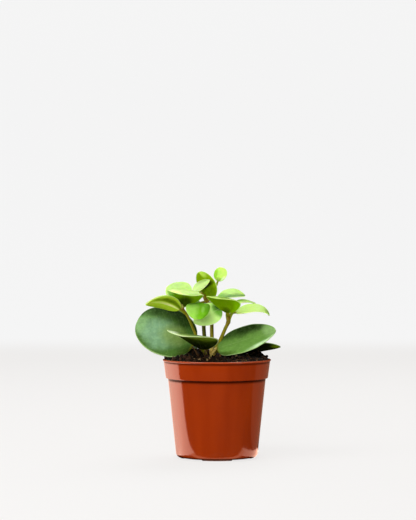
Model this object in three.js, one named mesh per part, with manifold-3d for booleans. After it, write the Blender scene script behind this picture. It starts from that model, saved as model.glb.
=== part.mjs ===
// A young peperomia in a terracotta-coloured plastic nursery pot, rooted as four cuttings in peat compost.
// Millimetres, +Z up. The origin is the middle of the pot's underside, and the plant's front faces -Y.
// Old, large leaves stand low round the rim; pale young leaves crown each stem.
import * as THREE from "three";
import { LoftGeometry } from "three/addons/geometries/LoftGeometry.js";
import { mergeVertices } from "three/addons/utils/BufferGeometryUtils.js";
import Module from "manifold-3d";

const wasm = await Module();
wasm.setup();

// Pot
const POT_HEIGHT = 96;
const WALL = 1.2;
const LIP_RADIUS = 53;
const LIP_HEIGHT = 1.8;
const BAND_TOP_RADIUS = 52.2;
const BAND_FOOT_RADIUS = 50;
const BAND_FOOT_Z = 77.5;
const BODY_TOP_RADIUS = 47.9;
const BODY_FOOT_RADIUS = 40.2;
const FOOT_ROUND = 5;
const FLOOR_THICKNESS = 1.6;
const RECESS_COUNT = 4;
const RECESS_HEIGHT = 1.2;
const RECESS_INNER_RADIUS = 28;
const RECESS_ANGLE = 45;
const FLOOR_TOP = FLOOR_THICKNESS + RECESS_HEIGHT;
const FLOOR_EASE = 2;
const STEP_ABOVE = 2;
const STEP_BELOW = 1;
const DRAIN_RADIUS = 2.5;
const DRAIN_CIRCLE_RADIUS = 33;
const POT_SIDES = 60;
const POT_EASE = 0.4;
const RECESS_SEGMENTS = 6;
const DRAIN_SIDES = 12;

// Compost
const SOIL_GAP = 0.3;
const SOIL_SIDE_GAP = 0.5;
const SOIL_STEP_GAP = 1;
const SOIL_EDGE_DEPTH = 1.5;
const SOIL_EDGE_Z = 95.2;
const SOIL_CROWN = 3.4;
const SOIL_HEAPS = [
  { x: 42, y: 12, radius: 9, height: 4 },
  { x: -43, y: 2, radius: 10, height: 3.6 },
  { x: -18.5, y: 16, radius: 15, height: 7 },
  { x: 28, y: 8, radius: 14, height: 2.4 },
  { x: -30, y: -26, radius: 10, height: 2.5 },
];
const SOIL_SIDES = 44;
const SOIL_RINGS = 11;
const SOIL_RIPPLES = [
  { height: 0.7, acrossX: 0.61, start: 1.3, acrossY: 0.53 },
  { height: 0.5, acrossX: 1.13, start: 0, acrossY: 0.9 },
];
const CRUMB_COUNT = 64;
const CRUMB_SMALLEST = 1.3;
const CRUMB_LARGEST = 3.1;
const CRUMB_WIDTHS = [0.7, 1.1];
const CRUMB_HEIGHTS = [0.6, 0.9];
const CRUMB_LIFT = 0.15;
const CRUMB_SEED = 11;
const RIM_CRUMB_RADIUS = 49.4;
const RIM_CRUMB_FLATNESS = 0.55;
const RIM_CRUMBS = [
  { turn: 179, size: 3.8 },
  { turn: 165, size: 2.8 },
  { turn: 12, size: 3 },
];

// Stems and leaves
const STEM_GAP = 0.3;
const STEM_SIDES = 10;
const STEM_STEP = 4;
const NODE_SWELL = 1.22;
const NODE_LENGTH = 3;
const BLADE_THICKNESS = 1.8;
const TIP_THINNING = 0.75;
const SECTION_FLATNESS = 0.5;
const CUP_POWER = 1.5;
const TIP_HALF_WIDTH = 0.35;
const FOOT_BLUNTNESS = 0.5;
const FLAT_FROM = 0.3;
const LARGE_LENGTH = 45;
const STALK_ROWS = 5;
const STALK_LEAD = 0.25;
const LARGE_LEAF = { stalk: 1.5, rows: 11, half: 7 };
const SMALL_LEAF = { stalk: 1.1, rows: 9, half: 5 };
const STEM_TAPER = 0.8;
const STEM_TOP_ROUNDING = 0.55;
const BUD_SHAPE = [{ share: 0, width: 0.6 }, { share: 0.45, width: 1 }, { share: 1, width: 0.3 }];
const BUD_SIDES = 8;
const LEAN = 2;
const LEAN_HEIGHT = 98;
const SUNK = 1.1;

const OLD_GREEN = 0x3f7040;
const MID_GREEN = 0x6fa52b;
const YOUNG_GREEN = 0xa5d455;
const STEM_OLIVE = 0x7d7420;
const TERRACOTTA = 0x97350b;
const PEAT = 0x2a1c12;
const ROUGHNESS = { pot: 0.3, soil: 0.95, stem: 0.5, leaf: 0.4 };

// Each stem is a line of points from inside the compost up to its crown, with its swollen nodes by height and
// the buds that sit on it.
const STEMS = {
  stem_left: {
    radius: 1.6,
    line: [[-9, -1, 74], [-10, -2, 98], [-20.6, -3, 121], [-28.4, -4, 139], [-34, -4, 147]],
    nodes: [103, 146],
    buds: [{ from: [-33.4, -5, 146.2], to: [-34.4, -8.2, 151.8], radius: 1.2 }],
  },
  stem_middle: {
    radius: 2.1,
    line: [[-4, 3, 74], [-5, 3, 98], [-5, 3, 125], [-6, 2, 146], [-9.5, 2, 153], [-13.5, 1.5, 161]],
    nodes: [104, 150, 156],
    buds: [{ from: [-13.2, 1, 160], to: [-18.6, -2.2, 164.2], radius: 1.3 }],
  },
  stem_right: {
    radius: 2,
    line: [[-6, -10, 74], [-6, -9, 98], [-1.5, -8, 106], [8, -7, 127], [11, -7, 134], [11, -8, 141]],
    nodes: [105, 134, 140],
  },
  stem_back: {
    radius: 2.2,
    line: [[-9, 12, 74], [-10.5, 11, 98], [-12.5, 9, 121], [-14, 8, 140], [-16, 7, 147]],
    nodes: [104, 146],
  },
  stem_stub: {
    radius: 1.2,
    line: [[2, -13.5, 84], [2, -14, 97], [2.6, -14.3, 100], [3.6, -14.6, 102.5]],
    nodes: [101],
  },
};

// Heading is the way a blade points, in degrees: 0 right, 90 back, 180 left, 270 to the front. Rise is its
// slope where it leaves the stalk, and roll turns it about its length, its left side up. Arch bends it down
// along its length, curl bends only the tip, and cup lifts its sides. Tip and foot say how slowly the blade
// widens from its two ends: 0.5 is round, less is blunter. A stalk runs from its node by way of the via point
// to the base; where stalk is given, it is that radius instead of the usual one for a leaf of its size.
const LEAVES = {
  leaf_low_left: {
    stem: "stem_left", node: 108, base: [-22, -5, 112.4], heading: 163, rise: 21, roll: -62,
    length: 62.5, width: 50.5, arch: 0, curl: 0, cup: 0.05, tip: 0.44, foot: 0.42, colour: OLD_GREEN,
  },
  leaf_low_front: {
    stem: "stem_left", node: 102, base: [-13.8, -14, 107.6], heading: 250, rise: 50, roll: -10,
    length: 50, width: 52, arch: 60, curl: 0, cup: 0.04, tip: 0.5, foot: 0.7, colour: OLD_GREEN,
  },
  leaf_low_right: {
    stem: "stem_right", node: 105, base: [0.2, -13, 107.9], heading: -9, rise: 18.5, roll: 44,
    length: 60.6, width: 33.8, arch: 0, curl: 0, cup: 0.12, tip: 0.56, foot: 0.45, colour: OLD_GREEN,
  },
  leaf_low_far: {
    stem: "stem_middle", node: 104, base: [17, 11, 104], heading: 10, rise: 5, roll: -25,
    length: 47, width: 30, arch: 2, curl: 0, cup: 0.1, tip: 0.75, colour: OLD_GREEN,
  },
  leaf_low_back: {
    stem: "stem_back", node: 107, base: [-15.5, 17, 108.6], heading: 160, rise: 10, roll: -15,
    length: 46, width: 34, arch: 24, curl: 0, cup: 0.12, tip: 0.6, foot: 0.4, colour: OLD_GREEN,
  },
  leaf_left_side: {
    stem: "stem_left", node: 141.5, base: [-36, -5.6, 146], heading: 192, rise: 34, roll: 38,
    length: 39, width: 25, arch: 56, curl: 0, cup: 0.08, tip: 0.6, colour: MID_GREEN,
  },
  leaf_left_back: {
    stem: "stem_left", node: 144.5, base: [-37.2, 5.2, 151.7], heading: 92, rise: 55, roll: -5,
    length: 28.7, width: 26.4, arch: 25, curl: 0, cup: 0.1, tip: 0.5, colour: YOUNG_GREEN,
  },
  leaf_left_front: {
    stem: "stem_left", node: 147.2, base: [-33, -4.6, 148.4], heading: 305, rise: 76, roll: -34,
    length: 44, width: 35.5, arch: 112, curl: 0, cup: -0.14, tip: 0.5, foot: 0.6, colour: YOUNG_GREEN,
  },
  leaf_middle_front: {
    stem: "stem_middle", node: 153.5, base: [-18.3, -9, 152.3], heading: 270, rise: 0, roll: 0,
    length: 26.5, width: 24, arch: 72, curl: 0, cup: 0.05, tip: 0.5, colour: MID_GREEN,
  },
  leaf_middle_low: {
    stem: "stem_middle", node: 148.5, base: [4, -1, 146.8], heading: 207, rise: -20, roll: -58,
    length: 31, width: 22.5, arch: 26, curl: 0, cup: 0.05, tip: 0.7, colour: YOUNG_GREEN,
  },
  leaf_right_front: {
    stem: "stem_right", node: 140.5, base: [10.7, -12, 143], heading: 262, rise: 70, roll: -17,
    length: 37, width: 34.3, arch: 84, curl: 0, cup: -0.08, tip: 0.5, foot: 0.6, stalk: 1.6, colour: MID_GREEN,
  },
  leaf_right_side: {
    stem: "stem_right", node: 132, base: [18.3, -7.5, 143.8], heading: -13, rise: 17, roll: 24,
    length: 36.3, width: 18.5, arch: 22, curl: 75, cup: 0.08, tip: 0.8, stalk: 1.7, colour: YOUNG_GREEN,
  },
  leaf_right_far: {
    stem: "stem_right", node: 133, via: [9.6, 4.6, 141], base: [16.5, 8.7, 150.3], heading: 13, rise: 28, roll: 8,
    length: 23.5, width: 14, arch: 56, curl: 0, cup: 0.05, tip: 0.7, colour: YOUNG_GREEN,
  },
  leaf_right_back: {
    stem: "stem_middle", node: 151.5, base: [-0.5, 15, 155], heading: 14, rise: 28, roll: 24,
    length: 30.5, width: 20.5, arch: 43, curl: 0, cup: 0.08, tip: 0.42, foot: 0.85, colour: YOUNG_GREEN,
  },
  leaf_top_back: {
    stem: "stem_middle", node: 155, base: [-3.2, -1.5, 157.2], heading: 168, rise: 61, roll: 78,
    length: 29.4, width: 18.6, arch: 10, curl: 0, cup: 0.12, tip: 0.55, colour: MID_GREEN,
  },
  leaf_top_front: {
    stem: "stem_middle", node: 158.5, base: [-23.5, -4, 163.5], heading: -5, rise: 38, roll: 50,
    length: 20, width: 11, arch: 10, curl: 0, cup: 0.12, tip: 0.65, colour: YOUNG_GREEN,
  },
  leaf_top: {
    stem: "stem_middle", node: 157, via: [-8, 9, 161],
    base: [0.9, 8.5, 173], heading: 20, rise: 68, roll: 50,
    length: 14.5, width: 13.5, arch: 10, curl: 0, cup: 0.1, tip: 0.45, colour: YOUNG_GREEN,
  },
  leaf_low_behind: {
    stem: "stem_back", node: 106, base: [-2, 20, 107.4], heading: 50, rise: 10, roll: 0,
    length: 42, width: 34, arch: 16, curl: 0, cup: 0.12, tip: 0.6, colour: OLD_GREEN,
  },
  leaf_back_left: {
    stem: "stem_back", node: 146, base: [-20, 12, 150.5], heading: 125, rise: 12, roll: 0,
    length: 25, width: 18, arch: 20, curl: 0, cup: 0.08, tip: 0.6, colour: MID_GREEN,
  },
  leaf_back_right: {
    stem: "stem_middle", node: 147, base: [1.5, 13, 146.5], heading: 95, rise: 10, roll: 0,
    length: 26, width: 17, arch: 16, curl: 0, cup: 0.08, tip: 0.6, colour: MID_GREEN,
  },
};

// Outline of a blade: its half width at a share of its length, 1 where it is widest.
function bladeOutline(share, foot, tip) {
  const widest = foot / (foot + tip);
  const shape = (x) => x ** foot * (1 - x) ** tip;
  return shape(share) / shape(widest);
}

const radians = THREE.MathUtils.degToRad;
const mix = THREE.MathUtils.lerp;
const smooth = THREE.MathUtils.smoothstep;

// The stalk's radius, and how finely a leaf is cut into rows and each row into points.
function sizeOf(leaf) {
  const size = leaf.length > LARGE_LENGTH ? LARGE_LEAF : SMALL_LEAF;
  return leaf.stalk ? { ...size, stalk: leaf.stalk } : size;
}

// The way a blade points, its left side and its upper face, as unit vectors.
function bladeFrame({ heading, rise, roll }) {
  const h = radians(heading);
  const p = radians(rise);
  const r = radians(roll);
  const along = new THREE.Vector3(Math.cos(p) * Math.cos(h), Math.cos(p) * Math.sin(h), Math.sin(p));
  const level = new THREE.Vector3(-Math.sin(h), Math.cos(h), 0);
  const side = level.applyAxisAngle(along, r);
  const face = along.clone().cross(side);
  return { along, side, face };
}

// Rows of the blade from its base to its tip: the midrib's place, its side and face, and the section there.
function bladeRows(leaf, count) {
  const frame = bladeFrame(leaf);
  const bendAt = (share) => radians(leaf.arch * share + leaf.curl * share ** 4);
  const directionAt = (share) =>
    frame.along.clone().multiplyScalar(Math.cos(bendAt(share)))
      .addScaledVector(frame.face, -Math.sin(bendAt(share)));
  const middle = new THREE.Vector3(...leaf.base);
  const rows = [];
  let before = 0;
  for (let i = 0; i <= count; i++) {
    const share = (1 - Math.cos((Math.PI * i) / count)) / 2;
    middle.addScaledVector(directionAt((share + before) / 2), leaf.length * (share - before));
    before = share;
    const along = directionAt(share);
    const side = frame.side.clone();
    const flat = smooth(share, 0, FLAT_FROM);
    const outline = bladeOutline(share, leaf.foot ?? FOOT_BLUNTNESS, leaf.tip);
    rows.push({
      middle: middle.clone(),
      side,
      face: along.clone().cross(side),
      halfWidth: Math.max((leaf.width / 2) * outline, mix(sizeOf(leaf).stalk, TIP_HALF_WIDTH, share)),
      halfThickness: mix(sizeOf(leaf).stalk, BLADE_THICKNESS / 2, flat) * mix(1, TIP_THINNING, share),
      cup: leaf.cup * flat,
      flatness: mix(1, SECTION_FLATNESS, flat),
    });
  }
  return rows;
}

// Rows of the round stalk, from the middle of its stem to the blade's base.
function stalkRows(leaf, stem) {
  const frame = bladeFrame(leaf);
  const end = new THREE.Vector3(...leaf.base);
  const start = stemPointAt(stem, leaf.node);
  const lead = end.clone().addScaledVector(frame.along, -STALK_LEAD * start.distanceTo(end));
  const via = leaf.via ? [new THREE.Vector3(...leaf.via)] : [];
  const path = new THREE.CatmullRomCurve3([start, ...via, lead, end]);
  const rows = [];
  const turn = new THREE.Quaternion();
  let along = frame.along;
  let side = frame.side.clone();
  for (let i = STALK_ROWS - 1; i >= 0; i--) {
    const share = i / STALK_ROWS;
    const tangent = path.getTangentAt(share);
    side = side.clone().applyQuaternion(turn.setFromUnitVectors(along, tangent));
    along = tangent;
    rows.unshift({
      middle: path.getPointAt(share),
      side,
      face: along.clone().cross(side),
      halfWidth: sizeOf(leaf).stalk,
      halfThickness: sizeOf(leaf).stalk,
      cup: 0,
      flatness: 1,
    });
  }
  return rows;
}

// One row's ring of points: across the upper face from the left margin to the right, and back beneath.
function ring(row, half) {
  const points = [];
  for (let i = 0; i < 2 * half; i++) {
    const angle = (Math.PI * (i + 0.5)) / half;
    const across = Math.cos(angle) / Math.cos(Math.PI / 2 / half);
    const height = Math.sign(Math.sin(angle)) * Math.abs(Math.sin(angle)) ** row.flatness;
    const lift = row.halfWidth * row.cup * Math.abs(across) ** CUP_POWER + row.halfThickness * height;
    points.push(row.middle.clone().addScaledVector(row.side, row.halfWidth * across)
      .addScaledVector(row.face, lift));
  }
  return points;
}

// A loft through rows of rings. The lower face's quads are cut along the same diagonals as the upper's.
function loftSolid(rings) {
  const geometry = new LoftGeometry(rings, { capStart: true, capEnd: true });
  const columns = rings[0].length;
  const index = geometry.index;
  for (let row = 0; row < rings.length - 1; row++) {
    for (let column = columns / 2; column < columns; column++) {
      const at = 6 * (row * columns + column);
      const [a, b, d, , c] = index.array.slice(at, at + 5);
      index.array.set([a, b, c, a, c, d], at);
    }
  }
  return toSolid(geometry);
}

// Solids from closed three.js meshes, and back.
function toSolid(geometry) {
  const bare = new THREE.BufferGeometry();
  bare.setAttribute("position", geometry.attributes.position);
  bare.setIndex(geometry.index);
  const merged = mergeVertices(bare, 1e-4);
  return new wasm.Manifold(new wasm.Mesh({
    numProp: 3,
    vertProperties: new Float32Array(merged.attributes.position.array),
    triVerts: new Uint32Array(merged.index.array),
  }));
}

function toMesh(name, solid, colour, roughness) {
  const made = solid.getMesh();
  const geometry = new THREE.BufferGeometry();
  geometry.setAttribute("position", new THREE.BufferAttribute(made.vertProperties, 3));
  geometry.setIndex(new THREE.BufferAttribute(made.triVerts, 1));
  geometry.computeVertexNormals();
  const material = new THREE.MeshStandardMaterial({ color: colour, roughness, metalness: 0 });
  const mesh = new THREE.Mesh(geometry, material);
  mesh.name = name;
  return mesh;
}

function stemCurve(stem) {
  return new THREE.CatmullRomCurve3(stem.line.map((point) => new THREE.Vector3(...point)));
}

// The point on a stem's middle line at a height.
function stemPointAt(stem, z) {
  const curve = stemCurve(stem);
  let low = 0;
  let high = 1;
  for (let i = 0; i < 30; i++) {
    const share = (low + high) / 2;
    if (curve.getPointAt(share).z < z) low = share;
    else high = share;
  }
  return curve.getPointAt(low);
}

// A closed bud: a short, fat spindle from inside the stem to its point.
function budSolid(bud, room) {
  const place = (share) => bud.from.map((start, i) => mix(start, bud.to[i], share));
  return wasm.Manifold.hull(BUD_SHAPE.map(({ share, width }) =>
    wasm.Manifold.sphere(bud.radius * width + room, BUD_SIDES).translate(place(share))));
}

// A stem swells at its nodes, and its top is rounded. Room is added all round for the pieces that meet it.
function stemSolid(stem, room) {
  const curve = stemCurve(stem);
  const rows = Math.ceil(curve.getLength() / STEM_STEP);
  const frames = curve.computeFrenetFrames(rows);
  const rings = [];
  for (let i = 0; i <= rows; i++) {
    const share = i / rows;
    const middle = curve.getPointAt(share);
    const swell = stem.nodes.reduce(
      (most, z) => Math.max(most, Math.exp(-(((middle.z - z) / NODE_LENGTH) ** 2))), 0);
    const taper = mix(1, STEM_TAPER, share) * (i === rows ? STEM_TOP_ROUNDING : 1);
    const radius = stem.radius * taper * mix(1, NODE_SWELL, swell) + room;
    const points = [];
    for (let j = 0; j < STEM_SIDES; j++) {
      const angle = (2 * Math.PI * j) / STEM_SIDES;
      points.push(middle.clone().addScaledVector(frames.normals[i], radius * Math.cos(angle))
        .addScaledVector(frames.binormals[i], radius * Math.sin(angle)));
    }
    rings.push(points);
  }
  const shoot = toSolid(new LoftGeometry(rings, { capStart: true, capEnd: true }));
  return (stem.buds ?? []).reduce((solid, bud) => solid.add(budSolid(bud, room)), shoot);
}

function leafSolid(leaf) {
  const stem = STEMS[leaf.stem];
  const size = sizeOf(leaf);
  const rows = [...stalkRows(leaf, stem), ...bladeRows(leaf, size.rows)];
  const rings = rows.map((row) => ring(row, size.half));
  return loftSolid(rings).subtract(stemSolid(stem, STEM_GAP));
}

// Stems and leaves are drawn upright. The whole plant then leans to the front, turned about where it
// leaves the compost.
function leaned(solid) {
  return solid.translate([0, 0, -LEAN_HEIGHT])
    .rotate([LEAN, 0, 0])
    .translate([0, 0, LEAN_HEIGHT - SUNK]);
}

// Pot
function potSolid() {
  const outline = new THREE.Path();
  outline.moveTo(0, 0);
  outline.lineTo(BODY_FOOT_RADIUS - FOOT_ROUND, 0);
  outline.quadraticCurveTo(BODY_FOOT_RADIUS, 0, BODY_FOOT_RADIUS, FOOT_ROUND);
  outline.lineTo(BODY_TOP_RADIUS, BAND_FOOT_Z);
  outline.lineTo(BAND_FOOT_RADIUS, BAND_FOOT_Z + POT_EASE);
  outline.lineTo(BAND_TOP_RADIUS, POT_HEIGHT - LIP_HEIGHT);
  outline.lineTo(LIP_RADIUS, POT_HEIGHT - LIP_HEIGHT + POT_EASE);
  outline.lineTo(LIP_RADIUS, POT_HEIGHT - POT_EASE);
  outline.lineTo(LIP_RADIUS - POT_EASE, POT_HEIGHT);
  outline.lineTo(BAND_TOP_RADIUS - WALL + POT_EASE, POT_HEIGHT);
  outline.lineTo(BAND_TOP_RADIUS - WALL, POT_HEIGHT - POT_EASE);
  outline.lineTo(BAND_FOOT_RADIUS - WALL, BAND_FOOT_Z + STEP_ABOVE);
  outline.lineTo(BODY_TOP_RADIUS - WALL, BAND_FOOT_Z - STEP_BELOW);
  outline.lineTo(BODY_FOOT_RADIUS - WALL, FOOT_ROUND + FLOOR_THICKNESS);
  outline.lineTo(BODY_FOOT_RADIUS - WALL - FLOOR_EASE, FLOOR_TOP);
  outline.lineTo(0, FLOOR_TOP);
  const shell = new THREE.LatheGeometry(outline.getPoints(3), POT_SIDES);
  shell.rotateX(Math.PI / 2);
  let pot = toSolid(shell);
  for (let i = 0; i < RECESS_COUNT; i++) {
    const turn = (360 / RECESS_COUNT) * (i + 0.5);
    pot = pot.subtract(recessSolid(turn)).subtract(drainSolid(turn));
  }
  return pot;
}

// A shallow recess under the edge of the base, open to the outside, that lets water out beneath the pot.
function recessSolid(turn) {
  const outer = BODY_FOOT_RADIUS + 2;
  const from = radians(turn - RECESS_ANGLE / 2);
  const to = radians(turn + RECESS_ANGLE / 2);
  const shape = new THREE.Shape();
  shape.moveTo(RECESS_INNER_RADIUS * Math.cos(from), RECESS_INNER_RADIUS * Math.sin(from));
  shape.absarc(0, 0, outer, from, to, false);
  shape.absarc(0, 0, RECESS_INNER_RADIUS, to, from, true);
  const block = new THREE.ExtrudeGeometry(shape, {
    depth: 2 * RECESS_HEIGHT,
    bevelEnabled: false,
    curveSegments: RECESS_SEGMENTS,
  });
  block.translate(0, 0, -RECESS_HEIGHT);
  return toSolid(block);
}

function drainSolid(turn) {
  const drain = new THREE.CylinderGeometry(DRAIN_RADIUS, DRAIN_RADIUS, 3 * FLOOR_TOP, DRAIN_SIDES);
  drain.rotateX(Math.PI / 2);
  const angle = radians(turn);
  drain.translate(DRAIN_CIRCLE_RADIUS * Math.cos(angle), DRAIN_CIRCLE_RADIUS * Math.sin(angle), 0);
  return toSolid(drain);
}

// Compost
function seededRandom(seed) {
  let state = seed;
  return () => {
    state = (Math.imul(state, 1664525) + 1013904223) >>> 0;
    return state / 2 ** 32;
  };
}

function soilHeight(x, y) {
  const far = Math.hypot(x, y) / LIP_RADIUS;
  let z = SOIL_EDGE_Z + SOIL_CROWN * (1 - far ** 2);
  for (const heap of SOIL_HEAPS) {
    const away = Math.hypot(x - heap.x, y - heap.y) / heap.radius;
    z += heap.height * Math.exp(-(away ** 2));
  }
  for (const ripple of SOIL_RIPPLES) {
    z += ripple.height * Math.sin(ripple.acrossX * x + ripple.start) * Math.cos(ripple.acrossY * y);
  }
  return z;
}

function soilSolid(stems) {
  const inset = WALL + SOIL_SIDE_GAP;
  const edge = BAND_TOP_RADIUS - inset - SOIL_GAP;
  const outline = [
    [0, FLOOR_TOP + SOIL_GAP],
    [BODY_FOOT_RADIUS - inset - FLOOR_EASE, FLOOR_TOP + SOIL_GAP],
    [BODY_FOOT_RADIUS - inset, FOOT_ROUND + FLOOR_THICKNESS + SOIL_STEP_GAP],
    [BODY_TOP_RADIUS - inset, BAND_FOOT_Z - STEP_BELOW],
    [BAND_FOOT_RADIUS - inset, BAND_FOOT_Z + STEP_ABOVE + SOIL_STEP_GAP],
    [edge, SOIL_EDGE_Z - SOIL_EDGE_DEPTH],
  ];
  for (let i = SOIL_RINGS; i >= 0; i--) outline.push([(edge * i) / SOIL_RINGS, SOIL_EDGE_Z]);
  const fill = new THREE.LatheGeometry(outline.map(([r, z]) => new THREE.Vector2(r, z)), SOIL_SIDES);
  fill.rotateX(Math.PI / 2);
  const place = fill.attributes.position;
  for (let i = 0; i < place.count; i++) {
    if (place.getZ(i) > SOIL_EDGE_Z - 0.1) place.setZ(i, soilHeight(place.getX(i), place.getY(i)));
  }
  let soil = toSolid(fill);
  for (const crumb of crumbSolids(edge)) soil = soil.add(crumb);
  for (const stem of stems) soil = soil.subtract(leaned(stemSolid(stem, STEM_GAP)));
  return soil.decompose().reduce((most, piece) => (piece.volume() > most.volume() ? piece : most));
}

// Crumbs half sunk in the compost, and a few that lie on the pot's lip.
function crumbSolids(edge) {
  const random = seededRandom(CRUMB_SEED);
  const crumbs = [];
  for (let i = 0; i < CRUMB_COUNT; i++) {
    const size = mix(CRUMB_SMALLEST, CRUMB_LARGEST, random() ** 2);
    const out = Math.sqrt(random()) * (edge - size);
    const turn = 2 * Math.PI * random();
    const crumb = new THREE.IcosahedronGeometry(size, 0);
    crumb.scale(1, mix(...CRUMB_WIDTHS, random()), mix(...CRUMB_HEIGHTS, random()));
    crumb.rotateX(Math.PI * random());
    crumb.rotateZ(2 * Math.PI * random());
    const x = out * Math.cos(turn);
    const y = out * Math.sin(turn);
    crumb.translate(x, y, soilHeight(x, y) + CRUMB_LIFT * size);
    crumbs.push(toSolid(crumb));
  }
  for (const { turn, size } of RIM_CRUMBS) {
    const crumb = new THREE.IcosahedronGeometry(size, 0);
    crumb.scale(1, 1, RIM_CRUMB_FLATNESS);
    crumb.translate(RIM_CRUMB_RADIUS * Math.cos(radians(turn)), RIM_CRUMB_RADIUS * Math.sin(radians(turn)),
      POT_HEIGHT + SOIL_GAP + size * RIM_CRUMB_FLATNESS);
    crumbs.push(toSolid(crumb));
  }
  return crumbs;
}

// Assembly
const plant = new THREE.Group();
plant.name = "potted_peperomia";
plant.add(toMesh("pot", potSolid(), TERRACOTTA, ROUGHNESS.pot));
plant.add(toMesh("soil", soilSolid(Object.values(STEMS)), PEAT, ROUGHNESS.soil));
for (const [name, stem] of Object.entries(STEMS)) {
  plant.add(toMesh(name, leaned(stemSolid(stem, 0)), STEM_OLIVE, ROUGHNESS.stem));
}
for (const [name, leaf] of Object.entries(LEAVES)) {
  plant.add(toMesh(name, leaned(leafSolid(leaf)), leaf.colour, ROUGHNESS.leaf));
}

export default plant;
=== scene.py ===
import math
import random

import bmesh
import bpy
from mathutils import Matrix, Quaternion, Vector, noise


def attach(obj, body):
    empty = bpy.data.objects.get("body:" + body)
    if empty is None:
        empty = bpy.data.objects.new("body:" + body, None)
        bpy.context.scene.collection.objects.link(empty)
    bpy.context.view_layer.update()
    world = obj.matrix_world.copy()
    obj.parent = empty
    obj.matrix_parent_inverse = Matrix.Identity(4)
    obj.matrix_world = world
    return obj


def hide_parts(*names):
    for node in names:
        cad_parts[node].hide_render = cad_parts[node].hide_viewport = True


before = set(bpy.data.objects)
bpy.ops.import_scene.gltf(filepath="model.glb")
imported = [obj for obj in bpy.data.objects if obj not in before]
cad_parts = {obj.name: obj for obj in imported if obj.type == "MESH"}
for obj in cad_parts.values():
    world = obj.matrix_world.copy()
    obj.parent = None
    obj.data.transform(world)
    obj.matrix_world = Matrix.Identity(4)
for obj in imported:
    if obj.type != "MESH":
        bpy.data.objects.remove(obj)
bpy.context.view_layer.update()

# A young peperomia in a glossy terracotta-coloured nursery pot. The plant and its pot are in millimetres until a
# mesh is made, and the studio is in metres.
MM = 0.001

# Pot
POT_HEIGHT = 96
LIP_RADIUS = 53
LIP_FOOT_Z = 94.1
BAND_TOP_RADIUS = 52.2
BAND_FOOT_RADIUS = 50
BAND_FOOT_Z = 77.5
BAND_WALL_HEIGHT = 16.7
BODY_TOP_RADIUS = 47.9
BODY_FOOT_RADIUS = 40.2
FLOOR_TOP = 2.8
FOOT_ROUND = 5
RECESSES = 4
RECESS_INNER_RADIUS = 28
RECESS_HEIGHT = 1.2
RECESS_ANGLE = 45
DRAIN_RADIUS = 2.5
DRAIN_CIRCLE_RADIUS = 33
POT_STEPS = 192
# Heights of the rings on the pot's straight walls
BODY_RINGS = (6, 9, 20, 32, 44, 56, 68, 75, 76.6)
BAND_RINGS = (79, 83, 88, 92, 93.4)
# Radius and height of each point where the pot's outline turns: under the band, over the lip, and down the inside
UNDER_BAND = [(BODY_TOP_RADIUS, 77.1), (48.15, 77.45), (48.6, 77.6), (49.4, 77.6), (49.85, 77.75), (50.04, 78.15)]
OVER_LIP = [
    (52.22, 93.95), (52.35, 94.22), (52.6, 94.35), (52.88, 94.6), (LIP_RADIUS, 95), (52.95, 95.45), (52.75, 95.8),
    (52.35, POT_HEIGHT), (51.8, POT_HEIGHT), (51.35, 95.98), (51.1, 95.8), (51, 95.4), (50.95, 94),
]
INSIDE = [
    (50.5, 90), (49.5, 83), (48.9, 79.6), (48.6, 78.6), (47.7, 77.6), (46.9, 76.7), (46.65, 75.8), (46.2, 70),
    (44, 50), (41.7, 28), (39.6, 9), (39, 6), (38, 4.3), (36.6, 3.3),
    (35, FLOOR_TOP), (20, FLOOR_TOP), (0, FLOOR_TOP),
]

# Compost
SOIL_EDGE_Z = 95.2
SOIL_CROWN = 3.4
SOIL_EDGE_RADIUS = 50.2
# Radius and height up the side of the compost, inside the pot
SOIL_SIDE = [
    (0, FLOOR_TOP + 0.3), (35, FLOOR_TOP + 0.3), (37.4, 5.6), (45.7, 76.5), (47.8, 80.5), (SOIL_EDGE_RADIUS, 93.7),
]
SOIL_RINGS = 46
SOIL_STEPS = 180
# Heaps on the compost: place, radius, height
SOIL_HEAPS = [(42, 12, 9, 4), (-43, 2, 10, 3.6), (-18.5, 16, 15, 7), (28, 8, 14, 2.4), (-30, -26, 10, 2.5)]
# Crumbs that lie on the pot's lip: place, size
LIP_CRUMBS = [(-49.4, 0.9, 3.4), (-47.7, 12.8, 2.5), (48.3, 10.3, 2.7)]
# Crumbs piled up in front of the lowest leaf and behind the stems: place, size, lift
PILED_CRUMBS = [
    (-44.5, -22, 2.1, 0.8), (-41, -26.5, 2.5, 1.2), (-37.5, -29.5, 2.2, 2.6), (-35, -33.5, 2.4, 1),
    (-31, -35, 2.2, 2.2), (-28.5, -38.5, 2.3, 0.9), (-23.5, -40, 2, 1.4), (-19, -43.5, 1.8, 0.8),
    (-34, -29, 1.9, 2.4), (-26, -36.5, 1.7, 2.2), (-27, 9, 3.4, 2.6), (-22.5, 12, 3, 2.2), (-10, 17, 3.2, 3),
    (-5, 20, 3, 2.8),
]
# Dry stalks and roots that stick out of the compost at the plant's foot: two ends, thickness, shade
DRY_STRANDS = [
    ((-25.7, -16, 110.1), (-17, -17, 98.4), 0.75, 0.6), ((-15.5, -18, 104.8), (-10.6, -19, 97.4), 0.6, 0.45),
    ((0.3, -15, 109.4), (-7.4, -17, 97.8), 1.3, 0.995), ((-29, -24, 103.4), (-24.4, -26, 96.6), 0.5, 0.4),
    ((-33.4, -25, 100.6), (-29, -27, 96.4), 0.45, 0.55), ((-11.6, -15, 106), (-13, -17, 97.6), 0.6, 0.35),
    ((3.2, -20, 102), (1.4, -22, 96.6), 0.9, 0.7),
]
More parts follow.
